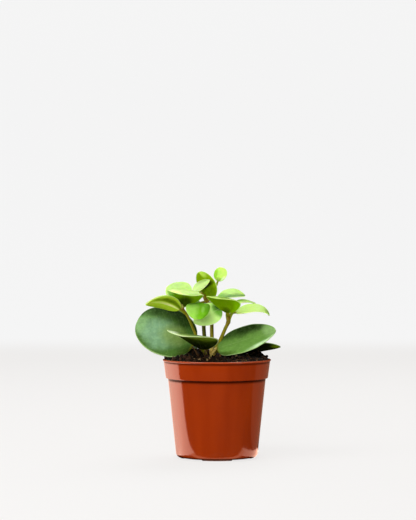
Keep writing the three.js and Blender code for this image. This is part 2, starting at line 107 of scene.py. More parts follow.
# How far the second and third dots of a dry strand bulge from the straight line
STRAND_BULGE = (Vector((0.5, 0, 0.5)), Vector((0.6, -0.3, 0.7)))
STRAND_SPANS = 4
CRUMBS = 1000
CRUMB_SIZES = (0.45, 2.3)
CRUMB_SEED = 11
FIBRES = 150
FIBRE_LENGTHS = (3, 9)
FIBRE_RADII = (0.12, 0.26)
FIBRE_SEED = 23

# Stems: radius, line from the compost to the crown, heights of the swollen nodes
STEMS = {
    "stem_left": (1.6, [(-9, -1, 74), (-10, -2, 98), (-20.6, -3, 121), (-28.4, -4, 139), (-34, -4, 147)], [103, 146]),
    "stem_middle": (
        2.1, [(-4, 3, 74), (-5, 3, 98), (-5, 3, 125), (-6, 2, 146), (-9.5, 2, 153), (-13.5, 1.5, 161)],
        [104, 150, 156]),
    "stem_right": (
        2, [(-6, -10, 74), (-6, -9, 98), (-1.5, -8, 106), (8, -7, 127), (11, -7, 134), (11, -8, 141)],
        [105, 134, 140]),
    "stem_back": (2.2, [(-9, 12, 74), (-10.5, 11, 98), (-12.5, 9, 121), (-14, 8, 140), (-16, 7, 147)], [104, 146]),
    "stem_stub": (1.2, [(2, -13.5, 84), (2, -14, 97), (2.6, -14.3, 100), (3.6, -14.6, 102.5)], [101]),
}
STEM_ROW = 0.9
STEM_AROUND = 20
# Where the key lamp comes from, for the stems' painted light and shade
LIT_FROM = Vector((-0.8, -0.6, 0))
STEM_MARKS = ("share", "near_node", "ring", "bud", "lit")
# Buds on the stems: root, point, radius
BUDS = {
    "stem_left": ((-33.4, -5, 146.2), (-34.4, -8.2, 151.8), 1.2),
    "stem_middle": ((-13.2, 1, 160), (-18.6, -2.2, 164.2), 1.3),
}
BUD_ROWS = 14
BUD_AROUND = 18

# Leaves: stem, height of the node on it, points that the stalk passes, base of the blade; heading, rise, roll;
# length, width; arch, curl, cup; how slowly the blade widens from its tip and from its foot (0.5 is round); age
LEAVES = {
    "leaf_low_left": (
        "stem_left", 108, [], (-22, -5, 112.4), 163, 21, -62, 62.5, 50.5, 0, 0, 0.05, 0.44, 0.42, "old"),
    "leaf_low_front": ("stem_left", 102, [], (-13.8, -14, 107.6), 250, 50, -10, 50, 52, 60, 0, 0.04, 0.5, 0.7, "old"),
    "leaf_low_right": (
        "stem_right", 105, [], (0.2, -13, 107.9), -9, 18.5, 44, 60.6, 33.8, 0, 0, 0.12, 0.56, 0.45, "old"),
    "leaf_low_far": ("stem_middle", 104, [], (17, 11, 104), 10, 5, -25, 47, 30, 2, 0, 0.1, 0.75, 0.5, "old"),
    "leaf_low_back": ("stem_back", 107, [], (-15.5, 17, 108.6), 160, 10, -15, 46, 34, 24, 0, 0.12, 0.6, 0.4, "old"),
    "leaf_left_side": ("stem_left", 141.5, [], (-36, -5.6, 146), 192, 34, 38, 39, 25, 56, 0, 0.08, 0.6, 0.5, "grown"),
    "leaf_left_back": (
        "stem_left", 144.5, [], (-37.2, 5.2, 151.7), 92, 55, -5, 28.7, 26.4, 25, 0, 0.1, 0.5, 0.5, "young"),
    "leaf_left_front": (
        "stem_left", 147.2, [], (-33, -4.6, 148.4), 305, 76, -34, 44, 35.5, 112, 0, -0.14, 0.5, 0.6, "young"),
    "leaf_middle_front": (
        "stem_middle", 153.5, [], (-18.3, -9, 152.3), 270, 0, 0, 26.5, 24, 72, 0, 0.05, 0.5, 0.5, "grown"),
    "leaf_middle_low": (
        "stem_middle", 148.5, [], (4, -1, 146.8), 207, -20, -58, 31, 22.5, 26, 0, 0.05, 0.7, 0.5, "young"),
    "leaf_right_front": (
        "stem_right", 140.5, [], (10.7, -12, 143), 262, 70, -17, 37, 34.3, 84, 0, -0.08, 0.5, 0.6, "grown"),
    "leaf_right_side": (
        "stem_right", 132, [], (18.3, -7.5, 143.8), -13, 17, 24, 36.3, 18.5, 22, 75, 0.08, 0.8, 0.5, "young"),
    "leaf_right_far": (
        "stem_right", 133, [(9.6, 4.6, 141)], (16.5, 8.7, 150.3), 13, 28, 8,
        23.5, 14, 56, 0, 0.05, 0.7, 0.5, "young"),
    "leaf_right_back": (
        "stem_middle", 151.5, [], (-0.5, 15, 155), 14, 28, 24, 30.5, 20.5, 43, 0, 0.08, 0.42, 0.85, "young"),
    "leaf_top_back": (
        "stem_middle", 155, [], (-3.2, -1.5, 157.2), 168, 61, 78, 29.4, 18.6, 10, 0, 0.12, 0.55, 0.5, "grown"),
    "leaf_top_front": (
        "stem_middle", 158.5, [], (-23.5, -4, 163.5), -5, 38, 50, 20, 11, 10, 0, 0.12, 0.65, 0.5, "young"),
    "leaf_top": (
        "stem_middle", 157, [(-8, 9, 161)], (0.9, 8.5, 173), 20, 68, 50, 14.5, 13.5, 10, 0, 0.1, 0.45, 0.5, "young"),
    "leaf_low_behind": ("stem_back", 106, [], (-2, 20, 107.4), 50, 10, 0, 42, 34, 16, 0, 0.12, 0.6, 0.5, "old"),
    "leaf_back_left": ("stem_back", 146, [], (-20, 12, 150.5), 125, 12, 0, 25, 18, 20, 0, 0.08, 0.6, 0.5, "grown"),
    "leaf_back_right": ("stem_middle", 147, [], (1.5, 13, 146.5), 95, 10, 0, 26, 17, 16, 0, 0.08, 0.6, 0.5, "grown"),
}
# Radius of a leaf's stalk: of a large leaf, of any other, and of two that have a thick one
LARGE_LEAF = 45
LARGE_STALK = 1.5
STALK = 1.1
THICK_STALKS = {"leaf_right_front": 1.6, "leaf_right_side": 1.7}
LEAF_SLOT = {"old": "old_leaf", "grown": "grown_leaf", "young": "young_leaf"}
BLADE_THICKNESS = 1.8
TIP_THINNING = 0.75
BLADE_ROWS = 46
STALK_ROWS = 16
BLADE_AROUND = 56
# Height of a blade's waves: of one longer than WAVY_LEAF, of any other
WAVY_LEAF = 40
WAVES = (0.5, 0.3)
# Depth of the groove along a blade's rib: on its lower face, on its upper one
RIB_GROOVE = (0.12, 0.1)
# The whole plant leans a little to the front, about where it leaves the compost
LEAN = Quaternion((1, 0, 0), math.radians(2))
LEAN_ABOUT = Vector((0, 0, 98))
SUNK = Vector((0, 0, 1.1))


def mix(a, b, share):
    """A number that goes from a to b as the share rises to 1."""
    return a + (b - a) * share


def smooth_step(x, low, high):
    """0 below low, 1 above high, eased between."""
    x = min(max((x - low) / (high - low), 0), 1)
    return x * x * (3 - 2 * x)


def leaned(point):
    """Where a point of the plant lies once the whole plant leans."""
    return LEAN @ (point - LEAN_ABOUT) + LEAN_ABOUT - SUNK


class Flow:
    """A line that flows through the given points, a centripetal Catmull-Rom curve, read by share of its length."""

    DOTS_A_SPAN = 40

    def __init__(self, points):
        points = [Vector(p) for p in points]
        points = [2 * points[0] - points[1], *points, 2 * points[-1] - points[-2]]
        self.dots = []
        for a, b, c, d in zip(points, points[1:], points[2:], points[3:]):
            before, here, after = ((b - a).length ** 0.5, (c - b).length ** 0.5, (d - c).length ** 0.5)
            leave = ((b - a) / before - (c - a) / (before + here) + (c - b) / here) * here
            arrive = ((c - b) / here - (d - b) / (here + after) + (d - c) / after) * here
            for i in range(self.DOTS_A_SPAN):
                t = i / self.DOTS_A_SPAN
                square, cube = 3 * (c - b) - 2 * leave - arrive, 2 * (b - c) + leave + arrive
                self.dots.append(b + leave * t + square * t * t + cube * t**3)
        self.dots.append(points[-2])
        self.reach = [0]
        for a, b in zip(self.dots, self.dots[1:]):
            self.reach.append(self.reach[-1] + (b - a).length)
        self.length = self.reach[-1]

    def at(self, share):
        """The point at a share of the line's length."""
        far = min(max(share, 0), 1) * self.length
        i = next(k for k in range(1, len(self.reach)) if self.reach[k] >= far or k == len(self.reach) - 1)
        span = self.reach[i] - self.reach[i - 1]
        return self.dots[i - 1].lerp(self.dots[i], (far - self.reach[i - 1]) / span)

    def way(self, share):
        """The direction of the line there."""
        return (self.at(share + 0.01) - self.at(share - 0.01)).normalized()

    def share_at_height(self, z):
        """The share at which the line first reaches a height, to the nearest of 400 steps."""
        return next((i / 400 for i in range(401) if self.at(i / 400).z >= z), 1)


STEM_FLOWS = {name: Flow(line) for name, (radius, line, nodes) in STEMS.items()}


# Meshes
def object_from(bm, name, material, smooth):
    """Turns a bmesh into an object of the scene."""
    mesh = bpy.data.meshes.new(name)
    bm.to_mesh(mesh)
    bm.free()
    mesh.polygons.foreach_set("use_smooth", [smooth] * len(mesh.polygons))
    mesh.materials.append(material)
    thing = bpy.data.objects.new(name, mesh)
    bpy.context.scene.collection.objects.link(thing)
    return thing


def piece_from(bm, name, material, slot, *nodes, smooth=True):
    """Turns a bmesh into a piece of the plant that stands for its CAD nodes."""
    piece = object_from(bm, name, material, smooth)
    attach(piece, "root")
    if nodes:
        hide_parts(*nodes)
    return piece


def rolled_skin(bm, rows, around, place, marks):
    """A closed skin: a grid rolled into a tube of rows, its seam welded and its two ends drawn to a point.

    place(row, angle) gives a point in millimetres and the marks that its material reads."""
    layers = {mark: bm.verts.layers.float.get(mark) or bm.verts.layers.float.new(mark) for mark in marks}
    grid = bmesh.ops.create_grid(bm, x_segments=rows, y_segments=around, size=1)["verts"]
    for vert in grid:
        row = round((vert.co.x + 1) / 2 * rows)
        angle = 2 * math.pi * (round((vert.co.y + 1) / 2 * around) % around) / around
        point, values = place(row, angle)
        vert.co = point * MM
        for mark, value in zip(marks, values):
            vert[layers[mark]] = value
    bmesh.ops.remove_doubles(bm, verts=grid, dist=1e-7)
    bmesh.ops.recalc_face_normals(bm, faces=[f for f in bm.faces if f.is_valid])


def spun(bm, outline, steps):
    """Spins an outline of radius and height into a closed round body."""
    verts = [bm.verts.new((r * MM, 0, z * MM)) for r, z in outline]
    edges = [bm.edges.new(pair) for pair in zip(verts, verts[1:])]
    bmesh.ops.spin(bm, geom=verts + edges, cent=(0, 0, 0), axis=(0, 0, 1), dvec=(0, 0, 0),
                   angle=2 * math.pi, steps=steps, use_merge=True)
    bmesh.ops.remove_doubles(bm, verts=bm.verts, dist=1e-6)
    bmesh.ops.recalc_face_normals(bm, faces=bm.faces)


def blade_outline(share, tip, foot):
    """Half-width of a blade at a share of its length, 1 where it is widest."""
    widest = foot / (foot + tip)
    return (share**foot * (1 - share) ** tip) / (widest**foot * (1 - widest) ** tip)


def leaf_rows(name):
    """Rows of a leaf from its stem to its tip: a round stalk and a flat blade, as thick and as wide as in CAD."""
    stem, node, via, base, heading, rise, roll, length, width, arch, curl, cup, tip, foot, _ = LEAVES[name]
    stalk = THICK_STALKS.get(name, LARGE_STALK if length > LARGE_LEAF else STALK)
    h, p = math.radians(heading), math.radians(rise)
    along = Vector((math.cos(p) * math.cos(h), math.cos(p) * math.sin(h), math.sin(p)))
    side = Quaternion(along, math.radians(roll)) @ Vector((-math.sin(h), math.cos(h), 0))
    face = along.cross(side)
    base = Vector(base)

    flow = STEM_FLOWS[stem]
    start = flow.at(flow.share_at_height(node))
    lead = base - along * (0.25 * (base - start).length)
    path = Flow([start, *via, lead, base])
    rows = []
    way, across = along, side
    for i in reversed(range(STALK_ROWS)):
        share = i / STALK_ROWS
        new_way = path.way(share)
        across = way.rotation_difference(new_way) @ across
        way = new_way
        sheath = 1 + 0.3 * (1 - smooth_step(share * path.length, 1.5, 5)) - 0.1 * smooth_step(share, 0.1, 0.5)
        rows.insert(0, dict(middle=path.at(share), side=across.copy(), face=way.cross(across), share=0, flat=0,
                            wide=stalk * sheath, thick=stalk * sheath, stalk=share, cup=0))
    rows[0]["wide"] = rows[0]["thick"] = 0

    middle = base.copy()
    before = 0
    for i in range(BLADE_ROWS + 1):
        share = (1 - math.cos(math.pi * i / BLADE_ROWS)) / 2
        bend = math.radians(arch * (share + before) / 2 + curl * ((share + before) / 2) ** 4)
        middle = middle + (along * math.cos(bend) - face * math.sin(bend)) * (length * (share - before))
        before = share
        bend = math.radians(arch * share + curl * share**4)
        way = along * math.cos(bend) - face * math.sin(bend)
        flat = smooth_step(share, 0, 0.3)
        narrowest = mix(stalk * 0.9, 0.35, share) * (1 - smooth_step(share, 0.97, 1))
        rows.append(dict(middle=middle, side=side, face=way.cross(side), share=share, flat=flat, stalk=1,
                         wide=max(width / 2 * blade_outline(share, tip, foot), narrowest),
                         thick=mix(stalk * 0.9, BLADE_THICKNESS / 2, flat) * mix(1, TIP_THINNING, share)
                         * (1 if i < BLADE_ROWS else 0), cup=cup * flat))
    return rows


def leaf_piece(name, material):
    """A leaf: its stalk and its blade, which is a little wavy and grooved along its rib."""
    rows = leaf_rows(name)
    length, age = LEAVES[name][7], LEAVES[name][-1]
    seed = 7.3 * sorted(LEAVES).index(name)
    waviness = WAVES[0 if length > WAVY_LEAF else 1]

    def place(i, angle):
        row = rows[i]
        t, s = math.cos(angle), math.sin(angle)
        height = math.copysign(abs(s) ** mix(1, 0.5, row["flat"]), s)
        ripple = noise.noise(Vector((row["share"] * 7, math.copysign(1, t), seed)))
        wide = row["wide"] * (1 + 0.015 * row["flat"] * ripple)
        lift = wide * row["cup"] * abs(t) ** 1.5 + row["thick"] * height
        wave = noise.noise(Vector((row["share"] * 3.2, t * 1.3, seed)))
        lift += waviness * wave * row["flat"] * (0.3 + abs(t))
        rib = math.exp(-((t * wide / (1.5 if s < 0 else 1)) ** 2)) * row["flat"] * (1 - row["share"]) ** 0.6
        lift -= rib * RIB_GROOVE[0 if s < 0 else 1]
        point = row["middle"] + row["side"] * (wide * t) + row["face"] * lift
        return leaned(point), (row["share"], t, 0.5 - 0.5 * height, row["stalk"])

    bm = bmesh.new()
    rolled_skin(bm, len(rows) - 1, BLADE_AROUND, place, ("share", "across", "under", "stalk"))
    piece_from(bm, name, material, LEAF_SLOT[age], name)


def stem_piece(name, material):
    """A stem with swollen, ringed nodes and faint ridges, rounded off at its top."""
    radius, _, nodes = STEMS[name]
    flow = STEM_FLOWS[name]
    count = round(flow.length / STEM_ROW)
    frames = []
    way = flow.way(0)
    side = way.orthogonal().normalized()
    for i in range(count + 1):
        new_way = flow.way(i / count)
        side = way.rotation_difference(new_way) @ side
        way = new_way
        frames.append((flow.at(i / count), side.copy(), way.cross(side)))
    seed = 3.1 * sorted(STEMS).index(name)

    def place(i, angle):
        middle, side, other = frames[i]
        share = i / count
        near = max(math.exp(-(((middle.z - z) / 3) ** 2)) for z in nodes)
        ring = max(math.exp(-(((middle.z - z) / 0.8) ** 2)) for z in nodes)
        end = min((1 - share) * flow.length / (0.9 * radius), 1)
        round_end = math.sqrt(max(1 - (1 - end) ** 2, 0))
        dents = noise.noise(Vector((math.cos(angle), math.sin(angle), share * 14 + seed)))
        ridge = 0.04 * math.sin(5 * angle + seed) + 0.05 * dents
        r = radius * mix(1, 0.8, share) * (mix(1, 1.2, near) + 0.06 * ring + ridge) * round_end if i else 0
        out = side * math.cos(angle) + other * math.sin(angle)
        return leaned(middle + out * r), (share, near, ring, 0, out.dot(LIT_FROM))

    bm = bmesh.new()
    rolled_skin(bm, count, STEM_AROUND, place, STEM_MARKS)
    if name in BUDS:
        add_bud(bm, *BUDS[name])
    piece_from(bm, name, material, "stem", name)


def add_bud(bm, root, point, radius):
    """A closed bud: a few folded scales round a short spindle, palest at its point."""
    root, point = Vector(root), Vector(point)
    way = (point - root).normalized()
    side = way.orthogonal().normalized()
    other = way.cross(side)

    def place(i, angle):
        share = i / BUD_ROWS
        belly = math.sin(math.pi * share**0.75) ** 0.8 if 0 < i < BUD_ROWS else 0
        fold = 1 + 0.16 * abs(math.sin(1.5 * angle + 2.2 * share))
        out = (side * math.cos(angle) + other * math.sin(angle)) * (radius * belly * fold)
        return leaned(root.lerp(point, share) + out), (0.6, 0, 0, 0.2 + 0.8 * share, 0)

    rolled_skin(bm, BUD_ROWS, BUD_AROUND, place, STEM_MARKS)


# Pot
def pot_outline():
    """The pot's section from the middle of its underside, up the outside, over the lip and down the inside."""
    slope = (BODY_TOP_RADIUS - BODY_FOOT_RADIUS) / (BAND_FOOT_Z - FOOT_ROUND)
    outline = [(0, 0), (RECESS_INNER_RADIUS, 0), (DRAIN_CIRCLE_RADIUS, 0), (BODY_FOOT_RADIUS - FOOT_ROUND, 0)]
    for i in range(1, 9):
        turn = math.pi / 2 * i / 8
        outline.append((BODY_FOOT_RADIUS - FOOT_ROUND * (1 - math.sin(turn)), FOOT_ROUND * (1 - math.cos(turn))))
    outline += [(BODY_FOOT_RADIUS + slope * (z - FOOT_ROUND), z) for z in BODY_RINGS] + UNDER_BAND
    for z in BAND_RINGS:
        outline.append((mix(BAND_FOOT_RADIUS, BAND_TOP_RADIUS, (z - BAND_FOOT_Z) / BAND_WALL_HEIGHT), z))
    return outline + OVER_LIP + INSIDE


def pot_piece(material):
    """The pot, moulded in one piece."""
    bm = bmesh.new()
    spun(bm, pot_outline(), POT_STEPS)
    cut_feet(piece_from(bm, "pot_shell", material, "pot_plastic", "pot"))


def cut_feet(pot):
    """Cuts the shallow recesses under the pot's edge and the drain holes in them, then drops the cutter."""
    below, beyond, arc = 2, 3, 12
    drain_depth, drain_z = 6, 2.2
    half = math.radians(RECESS_ANGLE / 2)
    bm = bmesh.new()
    for i in range(RECESSES):
        turn = 2 * math.pi * (i + 0.5) / RECESSES
        corners = []
        for r, a0, a1 in ((RECESS_INNER_RADIUS, -half, half), (BODY_FOOT_RADIUS + beyond, half, -half)):
            for k in range(arc + 1):
                a = turn + mix(a0, a1, k / arc)
                corners.append(bm.verts.new((r * MM * math.cos(a), r * MM * math.sin(a), -below * MM)))
        top = bmesh.ops.extrude_face_region(bm, geom=[bm.faces.new(corners)])["geom"]
        raised = [v for v in top if isinstance(v, bmesh.types.BMVert)]
        bmesh.ops.translate(bm, verts=raised, vec=(0, 0, (RECESS_HEIGHT + below) * MM))
        drain = bmesh.ops.create_cone(bm, cap_ends=True, segments=24, radius1=DRAIN_RADIUS * MM,
                                      radius2=DRAIN_RADIUS * MM, depth=drain_depth * MM)["verts"]
        middle = Vector((DRAIN_CIRCLE_RADIUS * math.cos(turn), DRAIN_CIRCLE_RADIUS * math.sin(turn), drain_z))
        bmesh.ops.translate(bm, verts=drain, vec=middle * MM)
    bmesh.ops.recalc_face_normals(bm, faces=bm.faces)
    mesh = bpy.data.meshes.new("cutter")
    bm.to_mesh(mesh)
    bm.free()
    cutter = bpy.data.objects.new("cutter", mesh)
    bpy.context.scene.collection.objects.link(cutter)
    cut = pot.modifiers.new("recesses", "BOOLEAN")
    cut.operation, cut.solver, cut.object, cut.use_self = "DIFFERENCE", "EXACT", cutter, True
    bpy.context.view_layer.update()
    cut_mesh = bpy.data.meshes.new_from_object(pot.evaluated_get(bpy.context.evaluated_depsgraph_get()))
    pot.modifiers.remove(cut)
    pot.data = cut_mesh
    cut_mesh.set_sharp_from_angle(angle=math.radians(40))
    bpy.data.objects.remove(cutter)


# Compost
def soil_height(x, y):
    """Height of the compost: a low dome with heaps on it and small waves over all of it."""
    z = SOIL_EDGE_Z + SOIL_CROWN * (1 - (x * x + y * y) / LIP_RADIUS**2)
    for cx, cy, radius, height in SOIL_HEAPS:
        z += height * math.exp(-((x - cx) ** 2 + (y - cy) ** 2) / radius**2)
    z += 0.7 * math.sin(0.61 * x + 1.3) * math.cos(0.53 * y) + 0.5 * math.sin(1.13 * x) * math.cos(0.9 * y)
    return z


def soil_piece(material):
    """Compost to the floor of the pot, its top broken up by lumps of every size."""
    bm = bmesh.new()
    top = [(SOIL_EDGE_RADIUS * i / SOIL_RINGS, SOIL_EDGE_Z) for i in range(SOIL_RINGS, -1, -1)]
    spun(bm, SOIL_SIDE + top, SOIL_STEPS)
    for vert in bm.verts:
        x, y, z = vert.co / MM
        if z > SOIL_EDGE_Z - 0.1:
            lumps = noise.fractal(Vector((x, y, 0)) * 0.32, 0.7, 2.1, 5)
            pits = noise.noise(Vector((x, y, 9)) * 1.1)
            vert.co.z = (soil_height(x, y) + 0.9 * lumps + 0.45 * pits) * MM
    piece_from(bm, "soil_bed", material, "compost", "soil")


def crumbs_piece(material):
    """Loose crumbs of peat and bark on the compost, most of them small, and the few that lie on the pot's lip."""
    draw = random.Random(CRUMB_SEED)
    bm = bmesh.new()
    tone = bm.verts.layers.float.new("tone")

    def crumb(x, y, z, size, squash, shade, finer=1):
        verts = bmesh.ops.create_icosphere(bm, subdivisions=finer, radius=size * MM)["verts"]
        turn = Quaternion((draw.uniform(-1, 1), draw.uniform(-1, 1), draw.uniform(-1, 1), draw.uniform(-1, 1)))
        turn.normalize()
        flatten = Vector((1, draw.uniform(0.55, 0.95), squash))
        for vert in verts:
            ragged = 1 + 0.3 * noise.noise(vert.co / (size * MM) * 1.7 + Vector((x, y, z)))
            vert.co = turn @ (vert.co * ragged * flatten) + Vector((x, y, z)) * MM
            vert[tone] = shade

    for _ in range(CRUMBS):
        out = SOIL_EDGE_RADIUS * math.sqrt(draw.random()) * 0.985
        turn = draw.uniform(0, 2 * math.pi)
        x, y = out * math.cos(turn), out * math.sin(turn)
        size = mix(*CRUMB_SIZES, draw.random() ** 2.6)
        size = min(size, (SOIL_EDGE_RADIUS + 0.3 - out) * 0.8 + 0.4)
        shade = draw.random() ** 1.3
        crumb(x, y, soil_height(x, y) + 0.35 * size, size, draw.uniform(0.45, 0.9), shade)
    for x, y, size in LIP_CRUMBS:
        crumb(x, y, POT_HEIGHT + 1.4, size, 0.55, 0.15, finer=2)
    for x, y, size, lift in PILED_CRUMBS:
        crumb(x, y, soil_height(x, y) + lift, size, 0.7, draw.uniform(0.2, 0.8), finer=2)
    bmesh.ops.recalc_face_normals(bm, faces=bm.faces)
    piece_from(bm, "soil_crumbs", material, "compost", smooth=False)


def strand_place(dots, thick, shade):
    """Where the skin of a strand that runs from dot to dot lies, pointed at both ends."""

    def place(i, angle):
        r = 0 if i in (0, STRAND_SPANS) else thick
        way = (dots[min(i + 1, STRAND_SPANS)] - dots[max(i - 1, 0)]).normalized()
        side = way.orthogonal().normalized()
        return dots[i] + (side * math.cos(angle) + way.cross(side) * math.sin(angle)) * r, (shade,)

    return place


def fibres_piece(material):
    """Short, bent strands of root and coir among the crumbs, and the dry stalks at the plant's foot."""
    draw = random.Random(FIBRE_SEED)
    bm = bmesh.new()
    for _ in range(FIBRES):
        out = (SOIL_EDGE_RADIUS - 3) * math.sqrt(draw.random())
        turn = draw.uniform(0, 2 * math.pi)
        x, y = out * math.cos(turn), out * math.sin(turn)
        heading, length = draw.uniform(0, 2 * math.pi), draw.uniform(*FIBRE_LENGTHS)
        dots = []
        for k in range(STRAND_SPANS + 1):
            far = length * (k / STRAND_SPANS - 0.5)
            px = x + far * math.cos(heading) + draw.uniform(-0.5, 0.5)
            py = y + far * math.sin(heading) + draw.uniform(-0.5, 0.5)
            limit = (SOIL_EDGE_RADIUS - 0.6) / max(math.hypot(px, py), SOIL_EDGE_RADIUS - 0.6)
            px, py = px * limit, py * limit
            lift = draw.uniform(0.5, 1.7) - (1.4 if k in (0, STRAND_SPANS) else 0)
            dots.append(Vector((px, py, soil_height(px, py) + lift)))
        thick, shade = draw.uniform(*FIBRE_RADII), draw.random()
        rolled_skin(bm, STRAND_SPANS, 4, strand_place(dots, thick, shade), ("tone",))
    for start, end, thick, shade in DRY_STRANDS:
        dots = [Vector(start).lerp(Vector(end), k / STRAND_SPANS) for k in range(STRAND_SPANS + 1)]
        dots[1] += STRAND_BULGE[0]
        dots[2] += STRAND_BULGE[1]
        rolled_skin(bm, STRAND_SPANS, 6, strand_place(dots, thick, shade), ("tone",))
    piece_from(bm, "soil_fibres", material, "compost")


# Materials
def tint(red, green, blue):
    """A colour given as a screen shows it."""
    parts = [c / 255 for c in (red, green, blue)]
    return (*[c / 12.92 if c < 0.04045 else ((c + 0.055) / 1.055) ** 2.4 for c in parts], 1)


class Finish:
    """A material being mixed: each call adds a node and returns its output."""

    def __init__(self, name, **fixed):
        self.material = bpy.data.materials.new(name)
        self.material.use_nodes = True
        self.tree = self.material.node_tree
        self.shader = self.tree.nodes["Principled BSDF"]
        for socket, value in fixed.items():
            self.shader.inputs[socket.replace("_", " ")].default_value = value

    def put(self, kind, ins, out=0, **settings):
        """Adds a node, with its inputs either linked or set."""
        node = self.tree.nodes.new(kind)
        for key, value in settings.items():
            setattr(node, key, value)
        for socket, value in ins.items():
            if isinstance(value, bpy.types.NodeSocket):
                self.tree.links.new(value, node.inputs[socket])
            else:
                node.inputs[socket].default_value = value
        return node.outputs[out]

    def mark(self, name):
        """A value that the piece's own vertices carry."""
        return self.put("ShaderNodeAttribute", {}, "Fac", attribute_name=name)

    def place(self):
        """The point on the object, in metres."""
        return self.put("ShaderNodeTexCoord", {}, "Object")

    def sum(self, operation, a, b=0.0, c=0.0, clamp=False):
        """One step of arithmetic."""
        return self.put("ShaderNodeMath", {0: a, 1: b, 2: c}, operation=operation, use_clamp=clamp)

    def band(self, value, low, high, bottom=0.0, top=1.0):
        """0 below low and 1 above high, eased between; low over high turns it round."""
        return self.put("ShaderNodeMapRange", {"Value": value, "From Min": low, "From Max": high,
                                               "To Min": bottom, "To Max": top}, interpolation_type="SMOOTHSTEP")

    def cloud(self, where, scale, detail=3.0, roughness=0.5):
        """Soft noise with so many lumps to a metre."""
        return self.put("ShaderNodeTexNoise",
                        {"Vector": where, "Scale": scale, "Detail": detail, "Roughness": roughness})

    def blend(self, share, a, b):
        """Colour a, going over to colour b as the share rises to 1."""
        node = self.tree.nodes.new("ShaderNodeMix")
        node.data_type = "RGBA"
        for socket, value in ((node.inputs[0], share), (node.inputs[6], a), (node.inputs[7], b)):
            if isinstance(value, bpy.types.NodeSocket):
                self.tree.links.new(value, socket)
            else:
                socket.default_value = value
        return node.outputs[2]

    def ramp(self, value, *stops):
        """A colour picked by a value from stops of place and colour."""
        node = self.tree.nodes.new("ShaderNodeValToRGB")
        self.tree.links.new(value, node.inputs[0])
        elements = node.color_ramp.elements
        while len(elements) < len(stops):
            elements.new(0.5)
        for element, (at, colour) in zip(elements, stops):
            element.position, element.color = at, colour
        return node.outputs[0]

    def bump(self, height, distance, strength=1.0, after=None):
        """Fine relief of a height, on top of the relief given by after."""
        ins = {"Height": height, "Distance": distance, "Strength": strength}
        if after is not None:
            ins["Normal"] = after
        return self.put("ShaderNodeBump", ins)

    def wear(self, **outputs):
        """Links outputs to the shader's sockets and returns the material."""
        for socket, output in outputs.items():
            self.tree.links.new(output, self.shader.inputs[socket.replace("_", " ")])
        return self.material


# Veins of a leaf, as shares of its length or of its half-width
VEIN_SPACING = 0.065
VEIN_SWEEP = 0.34
VEIN_WIDTH = 0.014
RIB_WIDTH = 0.07
# Tone where a leaf's stalk meets its stem
AXIL_TONE = (112, 72, 26)


